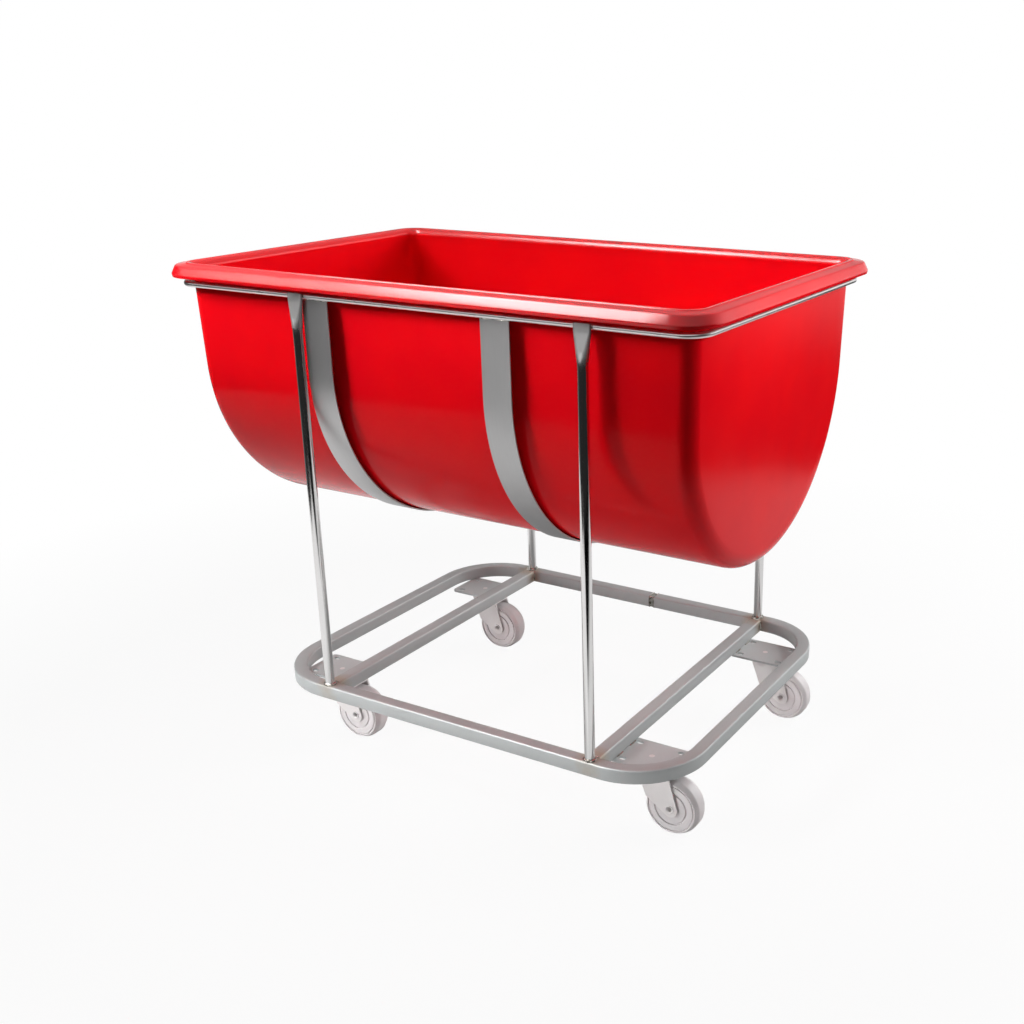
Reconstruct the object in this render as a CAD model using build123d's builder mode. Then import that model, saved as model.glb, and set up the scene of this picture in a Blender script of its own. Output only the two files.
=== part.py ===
from build123d import *

import os
from math import cos, radians, sin, sqrt, tan

# Dough trough: a moulded tub that lifts out of a welded tube frame on four swivel castors.
# Millimetres. The origin is on the floor under the middle of the tub, X runs along the tub,
# the front faces -Y and +Z is up.

os.makedirs("parts", exist_ok=True)

# Tub, measured outside at the height of the ring
tub_length = 1000.0
tub_width = 613.0
tub_depth = 443.0
tub_wall = 5.0
tub_corner_radius = 28.0
side_taper = radians(1.25)
end_taper = radians(1.6)

# Rolled rim of the tub
rim_height = 35.5
rim_overhang = 36.0
rim_drop = 23.5
rim_wall = 4.5
rim_inner_radius = 14.0
rim_outer_radius = 15.0
rim_root_height = 2.5
rim_root_step = 0.7
rim_root_lap = 2.0

# Ring and straps that carry the tub, each strap set in from the axis of the leg on its side
ring_height = 859.0
ring_bar = 10.0
ring_gap = 8.0
strap_width = 54.0
strap_thickness = 3.0
strap_left_inset = 36.0
strap_right_inset = 160.0
strap_clearance = 0.4
weld_gap = 0.1

# Legs, flattened to a fan where they meet the ring
leg_diameter = 17.2
leg_wall = 2.0
leg_spacing = 556.0
fan_width = 30.0
fan_thickness = 5.0
fan_taper_height = 48.0
fan_flat_lap = 2.0

# Base of square tube
base_offset = 50.0
base_length = 860.0
base_bend_radius = 130.0
rail_size = 25.0
rail_wall = 2.0
rail_edge_radius = 3.0
splice_x = 35.0
splice_width = 11.0
splice_inset = 0.6

# Castors
wheel_diameter = 100.0
wheel_width = 36.0
wheel_tread_band = 18.0
wheel_shoulder = 4.5
wheel_groove_depth = 2.6
rim_groove_radius = 42.0
rim_groove_width = 2.0
hub_groove_radius = 29.0
hub_groove_width = 3.2
castor_trail = 45.0
castor_inset = 109.5
plate_length = 115.0
plate_width = 85.0
plate_thickness = 4.0
plate_corner_radius = 8.0
plate_lap = 8.5
slot_spacing_x = 80.0
slot_spacing_y = 60.0
slot_length = 14.0
slot_width = 9.0
race_gap = 6.0
ball_clearance = 0.1
ball_circle = 44.0
ball_count = 18
kingpin_diameter = 10.0
kingpin_head_diameter = 20.0
kingpin_head_height = 4.0
kingpin_recess = 0.2
fork_sheet = 3.0
fork_side_gap = 1.0
fork_headroom = 15.0
fork_foot_radius = 14.0
fork_front_reach = 20.0
fork_back_reach = 39.0
crown_diameter = 58.0
crown_foot_diameter = 42.0
crown_depth = 13.0
axle_diameter = 12.0
axle_bore = 8.4
axle_mouth = 2.0
axle_lip_width = 1.5
axle_lip_diameter = 15.0
bush_wall = 2.0
bush_end_gap = 0.3
running_gap = 0.05
swivel_gap = 0.3

# Heights worked out from the floor up
wheel_radius = wheel_diameter / 2
crown_bottom = wheel_diameter + fork_headroom
crown_top = crown_bottom + fork_sheet
plate_bottom = crown_top + race_gap
rail_bottom = plate_bottom + plate_thickness
rail_top = rail_bottom + rail_size
tub_bottom = ring_height - tub_depth
rim_crest = ring_height + rim_height
rim_root = rim_crest - rim_inner_radius - rim_root_height
leg_top = ring_height + ring_bar / 2

# Plan sizes worked out from the tub outwards
bottom_radius = (tub_width / 2 - tub_depth * tan(side_taper)) / (1 / cos(side_taper) - tan(side_taper))
bottom_centre = tub_bottom + bottom_radius
ring_offset = ring_gap + ring_bar / 2
ring_half_length = tub_length / 2 + ring_offset
ring_half_width = tub_width / 2 + ring_offset
leg_y = ring_half_width + ring_bar / 2 + weld_gap + fan_thickness / 2
base_half_length = base_length / 2 - rail_size / 2
cross_length = 2 * leg_y - rail_size
castor_x = leg_spacing / 2 + rail_size / 2 - plate_lap + plate_length / 2
castor_y = leg_y + rail_size / 2 - castor_inset
strap_left_x = base_offset - leg_spacing / 2 + strap_left_inset
strap_right_x = base_offset + leg_spacing / 2 - strap_right_inset
fork_half_gap = wheel_width / 2 + fork_side_gap
fork_half_width = fork_half_gap + fork_sheet

left_right = {"left": -1, "right": 1}
front_back = {"front": -1, "back": 1}


def save(piece, name):
    """Label a finished piece and write it as its own file."""
    piece.part.label = name
    export_step(piece.part, f"parts/{name}.step")


def side_y(height, inset=0.0):
    """Half width of the tub's side wall at a height, moved in by the inset."""
    return (bottom_radius - inset + (height - bottom_centre) * sin(side_taper)) / cos(side_taper)


def end_x(height, inset=0.0):
    """Half length of the tub's end wall at a height, moved in by the inset."""
    return tub_length / 2 - inset / cos(end_taper) + (height - ring_height) * tan(end_taper)


def tub_form(inset, top):
    """The tub's outside form as a full solid, with every face moved in by the inset."""
    radius = bottom_radius - inset
    tangent_y = radius * cos(side_taper)
    tangent_z = bottom_centre - radius * sin(side_taper)
    with BuildPart() as form:
        with BuildSketch(Plane.YZ):
            with BuildLine():
                Line((side_y(top, inset), top), (tangent_y, tangent_z))
                ThreePointArc((tangent_y, tangent_z), (0, bottom_centre - radius), (-tangent_y, tangent_z))
                Line((-tangent_y, tangent_z), (-side_y(top, inset), top))
                Line((-side_y(top, inset), top), (side_y(top, inset), top))
            make_face()
        extrude(amount=tub_length, both=True)
        for side in left_right.values():
            end_normal = (side * cos(end_taper), 0, -sin(end_taper))
            end_plane = Plane(origin=(side * end_x(ring_height, inset), 0, ring_height), z_dir=end_normal)
            split(bisect_by=end_plane, keep=Keep.BOTTOM)
        end_faces = form.faces().filter_by(GeomType.PLANE).sort_by(Axis.X)
        end_edges = end_faces[0].edges() + end_faces[-1].edges()
        lowered = [edge for edge in end_edges if edge.center().Z < top - inset - tub_wall]
        fillet(lowered, radius=tub_corner_radius - inset)
    return form.part


def half_loop(half_length, half_width, radius, height):
    """The right half of a rounded rectangle, from the middle of the front to the middle of the back."""
    with BuildLine() as loop:
        FilletPolyline(
            (0, -half_width, height),
            (half_length, -half_width, height),
            (half_length, half_width, height),
            (0, half_width, height),
            radius=radius,
        )
    return loop.wire()


# Tub: shell and rolled rim
wall_top = rim_root + rim_root_lap
rim_path = half_loop(end_x(rim_root), side_y(rim_root), tub_corner_radius, rim_root)
crest = rim_crest - rim_root
lip = crest - rim_drop
inner_u = -tub_wall - rim_root_step
bend_u = inner_u + rim_inner_radius
shoulder_u = rim_overhang - rim_outer_radius
under_radius = bend_u - rim_root_step
lip_centre = lip + rim_wall / 2

with BuildPart() as tub:
    add(tub_form(0, wall_top))
    add(tub_form(tub_wall, wall_top + tub_wall), mode=Mode.SUBTRACT)
    with BuildSketch(Plane(origin=rim_path @ 0, x_dir=(0, -1, 0), z_dir=(-1, 0, 0))):
        with BuildLine():
            Line((inner_u, 0), (inner_u, crest - rim_inner_radius))
            JernArc((inner_u, crest - rim_inner_radius), (0, 1), rim_inner_radius, -90)
            Line((bend_u, crest), (shoulder_u, crest))
            JernArc((shoulder_u, crest), (1, 0), rim_outer_radius, -90)
            Line((rim_overhang, crest - rim_outer_radius), (rim_overhang, lip_centre))
            JernArc((rim_overhang, lip_centre), (0, -1), rim_wall / 2, -180)
            Line((rim_overhang - rim_wall, lip_centre), (rim_overhang - rim_wall, crest - rim_outer_radius))
            JernArc((rim_overhang - rim_wall, crest - rim_outer_radius), (0, 1), rim_outer_radius - rim_wall, 90)
            Line((shoulder_u, crest - rim_wall), (bend_u, crest - rim_wall))
            JernArc((bend_u, crest - rim_wall), (-1, 0), under_radius, 90)
            Line((rim_root_step, crest - rim_wall - under_radius), (rim_root_step, 0))
            Line((rim_root_step, 0), (inner_u, 0))
        make_face()
    sweep(path=rim_path)
    mirror(about=Plane.YZ)
save(tub, "tub")

# Ring under the rim
ring_path = half_loop(ring_half_length, ring_half_width, tub_corner_radius + ring_offset, ring_height)
with BuildPart() as top_ring:
    with BuildSketch(Plane(origin=ring_path @ 0, z_dir=ring_path % 0)):
        Circle(ring_bar / 2)
    sweep(path=ring_path)
    mirror(about=Plane.YZ)
save(top_ring, "top_ring")

# Straps: flat bands that hang from the ring and pass under the tub
strap_inner = ring_half_width - strap_thickness / 2
strap_outer = ring_half_width + strap_thickness / 2
strap_top = ring_height - ring_bar / 2 - weld_gap
strap_centre = tub_bottom - strap_clearance + strap_inner
for name, strap_x in {"strap_left": strap_left_x, "strap_right": strap_right_x}.items():
    with BuildPart() as strap:
        with BuildSketch(Plane.YZ.offset(strap_x)):
            with BuildLine():
                Line((strap_outer, strap_top), (strap_outer, strap_centre))
                ThreePointArc((strap_outer, strap_centre), (0, strap_centre - strap_outer),
                              (-strap_outer, strap_centre))
                Line((-strap_outer, strap_centre), (-strap_outer, strap_top))
                Line((-strap_outer, strap_top), (-strap_inner, strap_top))
                Line((-strap_inner, strap_top), (-strap_inner, strap_centre))
                ThreePointArc((-strap_inner, strap_centre), (0, strap_centre - strap_inner),
                              (strap_inner, strap_centre))
                Line((strap_inner, strap_centre), (strap_inner, strap_top))
                Line((strap_inner, strap_top), (strap_outer, strap_top))
            make_face()
        extrude(amount=strap_width / 2, both=True)
    save(strap, name)

# Legs: tubes on the rails, pressed flat where they are welded to the ring
fan_flat_bottom = ring_height - ring_bar / 2 - fan_flat_lap
fan_start = fan_flat_bottom - fan_taper_height
fan_end = fan_width / 2 - fan_thickness / 2
leg_radius = leg_diameter / 2
quarter_angle = 60
for row, side in front_back.items():
    for column, along in left_right.items():
        leg_x = base_offset + along * leg_spacing / 2
        with BuildPart() as leg:
            with BuildSketch(Plane.XY.offset(rail_top)):
                with Locations((leg_x, side * leg_y)):
                    Circle(leg_radius)
                    Circle(leg_radius - leg_wall, mode=Mode.SUBTRACT)
            extrude(amount=fan_start - rail_top)
            with BuildSketch(Plane(origin=(leg_x, side * leg_y, fan_start))) as round_section:
                with BuildLine():
                    CenterArc((0, 0), leg_radius, -quarter_angle, 2 * quarter_angle)
                    CenterArc((0, 0), leg_radius, quarter_angle, 180 - 2 * quarter_angle)
                    CenterArc((0, 0), leg_radius, 180 - quarter_angle, 2 * quarter_angle)
                    CenterArc((0, 0), leg_radius, 180 + quarter_angle, 180 - 2 * quarter_angle)
                make_face()
            with BuildSketch(Plane(origin=(leg_x, side * leg_y, fan_flat_bottom))) as flat_section:
                with BuildLine():
                    CenterArc((fan_end, 0), fan_thickness / 2, -90, 180)
                    Line((fan_end, fan_thickness / 2), (-fan_end, fan_thickness / 2))
                    CenterArc((-fan_end, 0), fan_thickness / 2, 90, 180)
                    Line((-fan_end, -fan_thickness / 2), (fan_end, -fan_thickness / 2))
                make_face()
            loft(sections=[round_section.sketch, flat_section.sketch])
            extrude(flat_section.sketch, amount=leg_top - fan_flat_bottom)
        save(leg, f"{row}_{column}_leg")

# Base loop: one square tube bent round, open at the splice in the back rail
splice_centre = base_offset + splice_x
base_left = base_offset - base_half_length
base_right = base_offset + base_half_length
rail_height = rail_bottom + rail_size / 2
with BuildPart() as base_loop:
    with BuildLine():
        loop_line = FilletPolyline(
            (splice_centre + splice_width / 2, leg_y, rail_height),
            (base_right, leg_y, rail_height),
            (base_right, -leg_y, rail_height),
            (base_left, -leg_y, rail_height),
            (base_left, leg_y, rail_height),
            (splice_centre - splice_width / 2, leg_y, rail_height),
            radius=base_bend_radius - rail_size / 2,
        )
    with BuildSketch(Plane(origin=loop_line @ 0, x_dir=(0, 1, 0), z_dir=loop_line % 0)):
        RectangleRounded(rail_size, rail_size, rail_edge_radius)
        RectangleRounded(rail_size - 2 * rail_wall, rail_size - 2 * rail_wall,
                         rail_edge_radius - rail_wall, mode=Mode.SUBTRACT)
    sweep()
save(base_loop, "base_loop")

# Splice: the weld metal between the loop's two ends
with BuildPart() as base_splice:
    with BuildSketch(Plane.YZ.offset(splice_centre)):
        with Locations((leg_y, rail_height)):
            RectangleRounded(rail_size - 2 * splice_inset, rail_size - 2 * splice_inset, rail_edge_radius)
    extrude(amount=splice_width / 2, both=True)
save(base_splice, "base_splice")

# Cross members: square tubes between the long rails, under the legs
for column, along in left_right.items():
    cross_x = base_offset + along * leg_spacing / 2
    with BuildPart() as cross:
        with BuildSketch(Plane.XZ):
            with Locations((cross_x, rail_height)):
                RectangleRounded(rail_size, rail_size, rail_edge_radius)
                RectangleRounded(rail_size - 2 * rail_wall, rail_size - 2 * rail_wall,
                                 rail_edge_radius - rail_wall, mode=Mode.SUBTRACT)
        extrude(amount=cross_length / 2, both=True)
    save(cross, f"cross_{column}")

# Castor pieces are made once about the swivel axis and copied to the four corners
with BuildPart() as plate:
    with BuildSketch(Plane.XY.offset(plate_bottom)):
        RectangleRounded(plate_length, plate_width, plate_corner_radius)
        with GridLocations(slot_spacing_x, slot_spacing_y, 2, 2):
            SlotOverall(slot_length, slot_width, mode=Mode.SUBTRACT)
        Circle(kingpin_diameter / 2 + running_gap, mode=Mode.SUBTRACT)
    extrude(amount=plate_thickness)

kingpin_head_top = crown_bottom - swivel_gap
with BuildPart() as kingpin:
    with BuildSketch(Plane.XY.offset(kingpin_head_top - kingpin_head_height)):
        Circle(kingpin_head_diameter / 2)
    extrude(amount=kingpin_head_height)
    chamfer(kingpin.edges().filter_by(GeomType.CIRCLE).sort_by(Axis.Z)[0], length=kingpin_head_height / 4)
    with BuildSketch(Plane.XY.offset(kingpin_head_top)):
        Circle(kingpin_diameter / 2)
    extrude(amount=rail_bottom - kingpin_recess - kingpin_head_top)

ball_diameter = race_gap - ball_clearance
with BuildPart() as balls:
    with Locations((0, 0, plate_bottom - ball_diameter / 2)):
        with PolarLocations(ball_circle / 2, ball_count):
            Sphere(ball_diameter / 2)

# Fork: a pressed sheet crown with two legs that lean back to the axle
foot_angle = 20
foot_back = (castor_trail + fork_foot_radius * cos(radians(foot_angle)),
             wheel_radius + fork_foot_radius * sin(radians(foot_angle)))
foot_front = (castor_trail - fork_foot_radius * sin(radians(foot_angle)),
              wheel_radius - fork_foot_radius * cos(radians(foot_angle)))
foot_middle = (castor_trail + fork_foot_radius / sqrt(2), wheel_radius - fork_foot_radius / sqrt(2))
with BuildPart() as fork:
    with BuildSketch(Plane.XZ):
        with BuildLine():
            Line((-fork_front_reach, crown_top), (fork_back_reach, crown_top))
            Line((fork_back_reach, crown_top), foot_back)
            ThreePointArc(foot_back, foot_middle, foot_front)
            Line(foot_front, (0, wheel_radius + fork_foot_radius))
            Line((0, wheel_radius + fork_foot_radius), (-fork_front_reach, crown_top))
        make_face()
    extrude(amount=fork_half_width, both=True)
    with BuildSketch(Plane.XY.offset(crown_top)):
        Circle(crown_diameter / 2)
    with BuildSketch(Plane.XY.offset(crown_top - crown_depth)):
        Circle(crown_foot_diameter / 2)
    loft()
    with BuildSketch(Plane.XY):
        Rectangle(2 * wheel_diameter, 2 * fork_half_gap)
    extrude(amount=crown_bottom - crown_depth + fork_sheet, mode=Mode.SUBTRACT)
    with BuildSketch(Plane.XY.offset(crown_bottom)):
        Circle(crown_diameter / 2 - fork_sheet)
    with BuildSketch(Plane.XY.offset(crown_bottom - crown_depth)):
        Circle(crown_foot_diameter / 2 - fork_sheet)
    loft(mode=Mode.SUBTRACT)
    with BuildSketch(Plane.XY.offset(crown_top)):
        Circle(kingpin_diameter / 2 + running_gap)
    extrude(amount=-2 * fork_sheet, mode=Mode.SUBTRACT)
    with BuildSketch(Plane.XZ):
        with Locations((castor_trail, wheel_radius)):
            Circle(axle_diameter / 2 + running_gap)
    extrude(amount=wheel_width, both=True, mode=Mode.SUBTRACT)

# Axle: a tube riveted over and flared at both ends
axle_plane = Plane(origin=(castor_trail, 0, wheel_radius), x_dir=(1, 0, 0), z_dir=(0, -1, 0))
axle_half = fork_half_width + axle_lip_width
with BuildPart() as axle:
    with BuildSketch(axle_plane):
        Circle(axle_diameter / 2)
    extrude(amount=axle_half, both=True)
    for side in front_back.values():
        with BuildSketch(axle_plane.offset(-side * fork_half_width)):
            Circle(axle_lip_diameter / 2)
        extrude(amount=-side * axle_lip_width)
    with BuildSketch(axle_plane):
        Circle(axle_bore / 2)
    extrude(amount=2 * axle_half, both=True, mode=Mode.SUBTRACT)
    bore_ends = axle.edges().filter_by(GeomType.CIRCLE).sort_by(SortBy.RADIUS)[:2]
    chamfer(bore_ends, length=axle_mouth)

# Bush pressed into the wheel, running on the axle
bush_bore_radius = axle_diameter / 2 + running_gap
bush_radius = bush_bore_radius + bush_wall
with BuildPart() as bush:
    with BuildSketch(axle_plane):
        Circle(bush_radius)
        Circle(bush_bore_radius, mode=Mode.SUBTRACT)
    extrude(amount=fork_half_gap - bush_end_gap, both=True)

# Wheel: one moulding with a crowned tread and a groove at the rim and round the hub
wheel_half = wheel_width / 2
band_half = wheel_tread_band / 2
shoulder_radius = wheel_radius - wheel_shoulder
groove_floor = wheel_half - wheel_groove_depth
with BuildPart() as wheel:
    with BuildSketch(Plane(origin=(castor_trail, 0, wheel_radius), x_dir=(0, 0, 1), z_dir=(1, 0, 0))):
        with BuildLine():
            Line((bush_radius + running_gap, 0), (bush_radius + running_gap, wheel_half))
            Line((bush_radius + running_gap, wheel_half), (shoulder_radius, wheel_half))
            RadiusArc((shoulder_radius, wheel_half), (wheel_radius, band_half),
                      (wheel_half - band_half) * 2)
            Line((wheel_radius, band_half), (wheel_radius, 0))
            Line((wheel_radius, 0), (bush_radius + running_gap, 0))
        make_face()
        for groove_radius, groove_width in (
            (rim_groove_radius, rim_groove_width),
            (hub_groove_radius, hub_groove_width),
        ):
            with Locations((groove_radius, wheel_half)):
                Rectangle(groove_width, 2 * (wheel_half - groove_floor), mode=Mode.SUBTRACT)
        mirror(about=Plane.XZ)
    revolve(axis=Axis((castor_trail, 0, wheel_radius), (0, 1, 0)))

castor_pieces = {
    "plate": plate,
    "kingpin": kingpin,
    "balls": balls,
    "fork": fork,
    "axle": axle,
    "bush": bush,
    "wheel": wheel,
}
for row, side in front_back.items():
    for column, along in left_right.items():
        for piece_name, piece in castor_pieces.items():
            with BuildPart() as placed:
                with Locations((base_offset + along * castor_x, side * castor_y, 0)):
                    add(piece.part)
            save(placed, f"{row}_{column}_castor_{piece_name}")
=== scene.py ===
"""Dough trough: the moulded tub, its steel frame and its castors, dressed around the packed frame."""

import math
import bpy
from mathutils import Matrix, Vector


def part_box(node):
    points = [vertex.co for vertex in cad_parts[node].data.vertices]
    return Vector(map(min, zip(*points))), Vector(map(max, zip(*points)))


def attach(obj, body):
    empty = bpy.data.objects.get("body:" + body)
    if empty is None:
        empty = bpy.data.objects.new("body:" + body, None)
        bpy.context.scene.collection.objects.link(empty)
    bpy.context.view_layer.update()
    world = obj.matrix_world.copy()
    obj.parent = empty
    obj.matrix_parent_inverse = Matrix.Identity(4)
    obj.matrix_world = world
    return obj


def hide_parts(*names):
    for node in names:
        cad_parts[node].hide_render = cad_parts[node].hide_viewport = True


bl_info = {
    "name": "Dough trough",
    "version": (1, 0, 0),
    "blender": (4, 5, 0),
    "location": "View3D > Sidebar > Trough",
    "description": "Builds the tub, the steel frame and the castors of a dough trough, and a plain stage",
    "category": "Object",
}

from collections import namedtuple

import bmesh
import bpy
from bpy.props import FloatProperty, FloatVectorProperty, PointerProperty
from bpy.types import Operator, Panel, PropertyGroup
from mathutils import Vector

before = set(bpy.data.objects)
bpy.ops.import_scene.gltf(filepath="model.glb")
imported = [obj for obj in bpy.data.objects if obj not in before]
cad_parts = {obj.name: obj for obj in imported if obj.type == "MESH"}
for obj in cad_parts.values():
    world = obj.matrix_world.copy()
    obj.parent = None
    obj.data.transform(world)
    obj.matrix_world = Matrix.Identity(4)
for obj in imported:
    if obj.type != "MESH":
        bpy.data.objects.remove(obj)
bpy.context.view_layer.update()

MM = 0.001
SIDES = ("left", "right")
CORNERS = [f"{row}_{side}" for row in ("front", "back") for side in SIDES]
RIGHT, BACK, UP = Vector((1, 0, 0)), Vector((0, 1, 0)), Vector((0, 0, 1))


def length(name, description, millimetres):
    """A length that a user can change, given in millimetres and kept in metres."""
    return FloatProperty(name=name, description=description, default=millimetres * MM, min=0, unit="LENGTH",
                         precision=5)


def angle(name, description, degrees):
    """An angle that a user can change."""
    return FloatProperty(name=name, description=description, default=math.radians(degrees), subtype="ANGLE")


def colour(name, description, red, green, blue):
    """A colour that a user can change, in linear light."""
    return FloatVectorProperty(name=name, description=description, default=(red, green, blue), min=0, max=1,
                               size=3, subtype="COLOR")


def amount(name, description, value):
    """A plain number that a user can change."""
    return FloatProperty(name=name, description=description, default=value)


class TubSizes(PropertyGroup):
    """Sizes of the moulded tub and its rolled rim."""

    wall: length("Wall", "Thickness of the moulded wall", 5.0)
    corner_radius: length("Corner radius", "Outside radius between the belly and the end walls", 28.0)
    side_taper: angle("Side taper", "Lean of the long walls", 1.25)
    end_taper: angle("End taper", "Lean of the end walls", 1.6)
    rim_overhang: length("Rim overhang", "How far the rim stands out from the wall", 36.0)
    rim_drop: length("Rim drop", "Height of the rim from its lip to its crest", 23.5)
    rim_wall: length("Rim wall", "Thickness of the rolled rim", 4.5)
    rim_inner_radius: length("Rim inner radius", "Radius from the wall to the crest", 14.0)
    rim_root_height: length("Rim root", "Straight height between the wall and the inner radius", 2.5)
    rim_step: length("Rim step", "How far the rim stands in from the wall", 0.7)
    bead_width: length("Bead width", "Width of the bead along the inside of the crest", 1.2)
    bead_height: length("Bead height", "Height of the bead along the inside of the crest", 1.8)
    rim_fall: angle("Rim fall", "Outward fall of the rim's top", 6.0)
    rim_face_lean: angle("Rim face lean", "Lean of the rim's outer face from upright", 26.0)
    rim_face_foot: length("Rim face foot", "Height of the outer face's foot above the lip", 5.0)
    rim_roll: length("Rim roll", "How far the lip rolls back under the outer face", 1.2)
    crease_radius: length("Crease radius", "Softness of the crease above the rim's outer face", 5.0)
    nose_radius: length("Nose radius", "Softness of the edge below the rim's outer face", 3.0)


class FrameSizes(PropertyGroup):
    """Sizes of the steel frame."""

    ring_bar: length("Ring bar", "Diameter of the bar under the rim", 10.0)
    ring_corner: length("Ring corner", "Bend radius of the ring's middle line", 41.0)
    strap_thickness: length("Strap thickness", "Thickness of the flat straps", 3.0)
    strap_edge: length("Strap edge", "Radius on the strap's edges", 0.9)
    leg_diameter: length("Leg diameter", "Outside diameter of the leg tube", 17.2)
    fan_thickness: length("Fan thickness", "Thickness of the flattened leg top", 5.0)
    fan_flat: length("Fan flat", "Height of the leg top that is wholly flat", 12.0)
    fan_taper: length("Fan taper", "Height over which the tube is pressed flat", 48.0)
    fan_ridge: length("Fan ridge", "Depth of the pressed face inside its ridges", 0.5)
    fan_lip: length("Fan lip", "Width of the slope between a ridge and the pressed face", 0.8)
    fan_edge: length("Fan edge", "Softness of the leg top's upper edge", 0.5)
    rail_size: length("Rail size", "Side of the square tube", 25.0)
    rail_edge: length("Rail edge", "Radius on the square tube's edges", 3.0)
    rail_bend: length("Rail bend", "Bend radius of the base loop's middle line", 117.5)
    bead_radius: length("Weld bead", "Radius of a weld bead", 2.2)
    bead_pitch: length("Weld ripple", "Distance between the ripples of a bead", 3.4)


class WheelSizes(PropertyGroup):
    """Sizes of a castor wheel."""

    tread_band: length("Tread band", "Width of the level part of the tread", 18.0)
    shoulder: length("Shoulder", "Drop from the tread to the wheel's faces", 4.5)
    groove_depth: length("Groove depth", "Depth of both grooves in a face", 2.6)
    rim_groove: length("Rim groove", "Radius of the groove beside the tread", 42.0)
    rim_groove_width: length("Rim groove width", "Width of the groove beside the tread", 2.0)
    hub_groove: length("Hub groove", "Radius of the groove round the hub", 29.0)
    hub_groove_width: length("Hub groove width", "Width of the groove round the hub", 3.2)
    bore: length("Bore", "Radius of the hole for the bush", 8.1)
    edge: length("Edge", "Radius on the moulded edges", 0.7)
    face_edge: length("Face edge", "Radius between a face and the shoulder", 1.4)
    tread_edge: length("Tread edge", "Radius between the shoulder and the tread", 5.6)


class Finishes(PropertyGroup):
    """Colours of the finishes."""

    tub_red: colour("Tub red", "Gloss moulded tub", 0.82, 0.003, 0.007)
    tub_deep: colour("Deep tub red", "Darker clouds in the tub's moulding", 0.75, 0.002, 0.008)
    polished: colour("Polished steel", "Legs and ring", 0.8, 0.79, 0.785)
    satin: colour("Satin steel", "Straps", 0.54, 0.535, 0.535)
    rail: colour("Rail steel", "Base loop and cross members", 0.48, 0.5, 0.5)
    plate: colour("Plate steel", "Castor plates", 0.61, 0.65, 0.65)
    castor: colour("Castor steel", "Forks, axles and kingpins", 0.88, 0.85, 0.845)
    bearing: colour("Bearing steel", "Balls and bushes", 0.5, 0.5, 0.51)
    weld: colour("Weld", "Bright weld metal", 0.72, 0.69, 0.64)
    burnt: colour("Burnt weld", "Dark spots on the weld beads", 0.09, 0.08, 0.06)
    heat_tint: colour("Heat tint", "Straw colour beside the welds", 0.42, 0.34, 0.25)
    nylon: colour("Nylon", "Castor wheels", 0.78, 0.745, 0.75)
    floor: colour("Floor", "Plain studio floor", 0.72, 0.72, 0.72)


class StageSettings(PropertyGroup):
    """Camera and light."""

    lens: amount("Lens", "Focal length in millimetres on a 36 mm sensor", 44.17)
    camera_pan: angle("Camera pan", "Turn of the camera about the upright axis", 29.05)
    camera_tilt: angle("Camera tilt", "How far the camera looks down", 18.96)
    camera_shift: amount("Camera shift", "Sideways shift of the picture", -0.1367)
    camera_place: FloatVectorProperty(name="Camera place", description="Where the camera stands",
                                      default=(1.288, -1.848, 1.1938), subtype="XYZ", unit="LENGTH")
    ambient: amount("Ambient", "Level of the light from all round", 0.03)
    overhead: amount("Overhead", "Mirrored level of the room overhead", 0.8)
    backdrop: amount("Backdrop", "Mirrored level of the backdrop behind", 0.4)
    far_floor: amount("Far floor", "Mirrored level of the floor far off to the left", 0.14)
    far_back: amount("Far back", "Mirrored level of the floor far off behind", 0.9)
    front_wall: amount("Front wall", "Mirrored level of the pale wall in front", 0.9)
    horizon: amount("Horizon", "Mirrored level of the dark room in front", 0.02)


Lamp = namedtuple("Lamp", "name watts place aim width height beam shows")

KEY_PLACE, KEY_AIM = (-1.83, -1.59, 2.16), (-0.3, -0.31, 1.0)
SIDE_PLACE, SIDE_AIM = (2.0, 2.0, 1.5), (0.5, 0, 0.7)
WIDE = 180
LAMPS = (
    Lamp("key_light", 2.75, KEY_PLACE, KEY_AIM, 0.8, 0.8, 30, "matt"),
    Lamp("key_gloss", 1.5, KEY_PLACE, KEY_AIM, 0.8, 0.8, 30, "gloss"),
    Lamp("near_light", 4.7, (-0.73, -0.68, 1.24), (-0.2, -0.31, 0.95), 0.24, 0.24, WIDE, "matt"),
    Lamp("middle_light", 0.7, (-0.55, -0.95, 1.35), (0.1, -0.31, 1.05), 0.34, 0.34, 36, "matt"),
    Lamp("side_light", 84.0, SIDE_PLACE, SIDE_AIM, 2.4, 1.2, WIDE, "matt"),
    Lamp("side_gloss", 48.0, SIDE_PLACE, SIDE_AIM, 2.4, 1.2, WIDE, "gloss"),
    Lamp("end_light", 0.36, (1.3, 0.15, 1.25), (0.52, -0.05, 0.95), 0.4, 0.3, 40, "matt"),
    Lamp("top_light", 12.8, (0.1, 0.1, 2.7), (0.1, 0, 0.9), 1.6, 1.0, WIDE, "matt"),
    Lamp("low_light", 1.6, (-0.9, -1.5, 0.3), (0.05, -0.25, 0.03), 1.0, 0.4, 34, "matt"),
    Lamp("under_light", 0.25, (0.05, -0.62, 0.1), (0.05, -0.2, 0.5), 1.1, 0.25, 70, "matt"),
    Lamp("crest_light", 44.0, (-0.9, -0.75, 2.5), (0.0, -0.31, 0.89), 1.0, 1.0, WIDE, "gloss"),
    Lamp("panel_light", 52.0, (-1.15, -1.84, 2.53), (0.2, -0.34, 0.89), 1.0, 0.9, WIDE, "gloss"),
)


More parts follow.
